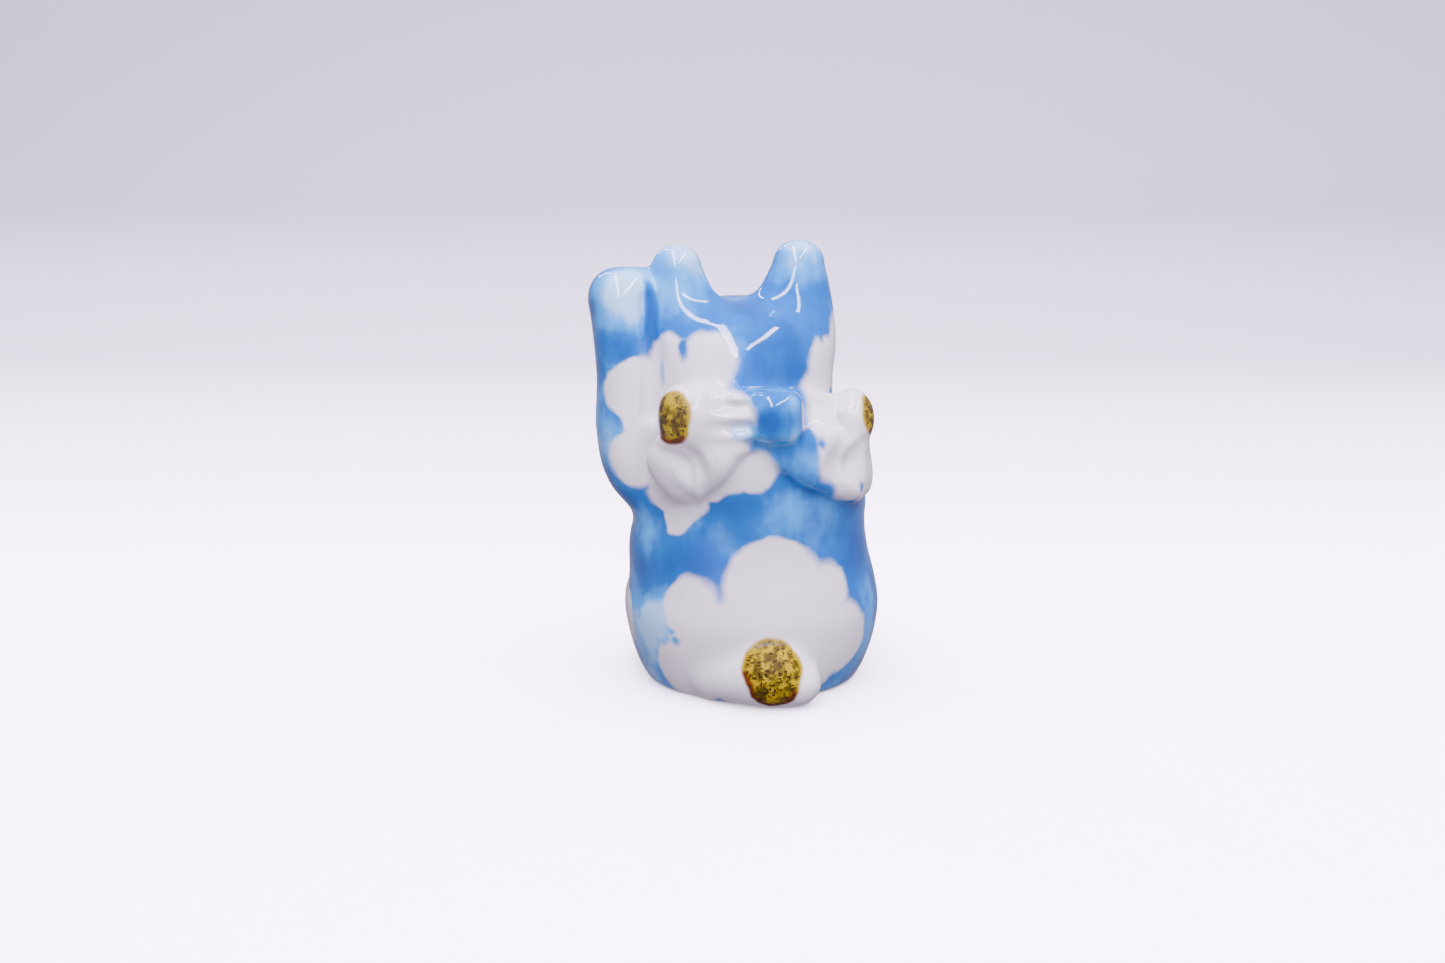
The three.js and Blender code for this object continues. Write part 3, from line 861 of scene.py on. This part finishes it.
def gilded_glaze(name):
    """The bell's ochre glaze, browner in places."""
    paint = Paint(name)
    at = place_in_mm(paint)
    speckled = ochre_colour(paint, at, -2.5)
    pooled = paint.ramp(paint.noise(at, (0.4,) * 3, 2)["Fac"], 0.45, 0.7, 0, 0.6)
    finish_glaze(paint, at, paint.mix(pooled, paint.mix(0.6, speckled, YELLOW), BROWN))
    return paint.material


GLAZES = {
    "collar_ribbon": painted_glaze("ribbon_glaze", clouds_from_y=2, deeper=0.6),
    "head_shell": painted_glaze("head_glaze", face=True),
    "tail": painted_glaze("tail_glaze", shine=TAIL_SHINE),
    "bell": gilded_glaze("bell_glaze"),
}
sky_and_cloud = painted_glaze("sky_and_cloud_glaze")
for name, thing in made.items():
    thing.data.materials.append(GLAZES.get(name, sky_and_cloud))

# ---- stage, lights and camera ------------------------------------------------------------
LAVENDER = (0.92, 0.78, 1.0)
PAPER = (0.85, 0.86, 0.98)
GLOW = 5.5
GLOW_FROM, GLOW_TO = -0.37, -0.08  # where the paper's glow starts and is full, in metres
CONTACT_REACH = 0.05
WORLD_STRENGTH = 0.54
VIEW_AZIMUTH = 167
VIEW_ELEVATION = 13.5
VIEW_DISTANCE = 0.6315
AIM = Vector((0.0, -0.0107, 0.0416))


def toward(azimuth, elevation):
    """The direction from the object at an azimuth and elevation in degrees: 0 is its front."""
    a, e = math.radians(azimuth), math.radians(elevation)
    return Vector((math.sin(a) * math.cos(e), -math.cos(a) * math.cos(e), math.sin(e)))


def paper_sweep():
    """A pale sheet of paper that curves up into the backdrop, behind the object in the view."""
    radius, back, front, top, half_width = 0.25, 0.75, -1.6, 1.6, 2.5
    rows = [(front + (back - front) * t, 0) for t in np.linspace(0, 1, 12)]
    rows += [
        (back + radius * math.sin(a), radius - radius * math.cos(a))
        for a in np.linspace(0.1, math.pi / 2, 14)
    ]
    rows.append((back + radius, top))
    verts = [(x, -y, z) for x in (-half_width, half_width) for y, z in rows]
    n = len(rows)
    strips = [(i, i + 1, n + i + 1, n + i) for i in range(n - 1)]
    mesh = bpy.data.meshes.new("paper_sweep")
    mesh.from_pydata(verts, [], strips)
    mesh.shade_smooth()
    sheet = bpy.data.objects.new("paper_sweep", mesh)
    bpy.context.scene.collection.objects.link(sheet)
    sheet.rotation_euler.z = math.radians(VIEW_AZIMUTH - 180)
    return sheet


def glowing_paper():
    """White paper glowing with painted light that fades behind the object, and a painted contact
    shadow.
    """
    paint = Paint("paper")
    place = paint.add("ShaderNodeTexCoord").outputs["Object"]
    depth = paint.add("ShaderNodeSeparateXYZ", place).outputs["Y"]
    fade = paint.add("ShaderNodeMapRange", depth, GLOW_FROM, GLOW_TO, 0, GLOW).outputs[0]
    # Painted contact shadow: ambient occlusion dims the paper's glow near the object.
    contact = paint.add("ShaderNodeAmbientOcclusion", None, CONTACT_REACH).outputs["AO"]
    paint.put(PAPER, paint.bsdf.inputs["Base Color"])
    paint.put(0.9, paint.bsdf.inputs["Roughness"])
    paint.put(LAVENDER, paint.bsdf.inputs["Emission Color"])
    paint.put(paint.math("MULTIPLY", fade, contact), paint.bsdf.inputs["Emission Strength"])
    return paint.material


def softbox(name, azimuth, elevation, distance, size, power, tilt=0, mirrored=True):
    """A lamp that faces the object, tilted about its own axis and mirrored in the glaze or not."""
    light = bpy.data.lights.new(name, "AREA")
    light.shape = "RECTANGLE"
    light.size, light.size_y = size
    light.energy = power
    light.color = LAVENDER
    lamp = bpy.data.objects.new(name, light)
    away = toward(azimuth, elevation)
    lamp.location = AIM + distance * away
    tilted = Quaternion(away, math.radians(tilt))
    lamp.rotation_euler = (tilted @ (-away).to_track_quat("-Z", "Y")).to_euler()
    lamp.visible_glossy = mirrored
    bpy.context.scene.collection.objects.link(lamp)


# The sheet glows only for the camera, so the lamps and the world alone light the object.
sweep = paper_sweep()
sweep.data.materials.append(glowing_paper())
sweep.visible_diffuse = False
sweep.visible_glossy = False
sweep.visible_shadow = False

softbox("left_tube", 158, 57, 0.7, (0.09, 1.15), 14, tilt=17)
softbox("right_tube", 212, 52, 0.7, (0.06, 0.9), 8, tilt=-54)
softbox("front_tube", 22, 42, 0.7, (0.02, 0.5), 2.4)
softbox("front_fill", -20, 45, 0.8, (0.5, 0.4), 5, mirrored=False)
softbox("top_light", 0, 88, 1.2, (1.2, 1.2), 6, mirrored=False)

world = bpy.data.worlds.new("studio")
world.use_nodes = True
background = world.node_tree.nodes["Background"]
background.inputs["Color"].default_value = (*LAVENDER, 1)
background.inputs["Strength"].default_value = WORLD_STRENGTH
bpy.context.scene.world = world

camera = bpy.data.objects.new("camera", bpy.data.cameras.new("camera"))
camera.data.lens = 70
camera.data.sensor_width = 36
camera.data.clip_start = 0.01
view_side = toward(VIEW_AZIMUTH, VIEW_ELEVATION)
camera.location = AIM + VIEW_DISTANCE * view_side
camera.rotation_euler = (-view_side).to_track_quat("-Z", "Y").to_euler()
bpy.context.scene.collection.objects.link(camera)
bpy.context.scene.camera = camera
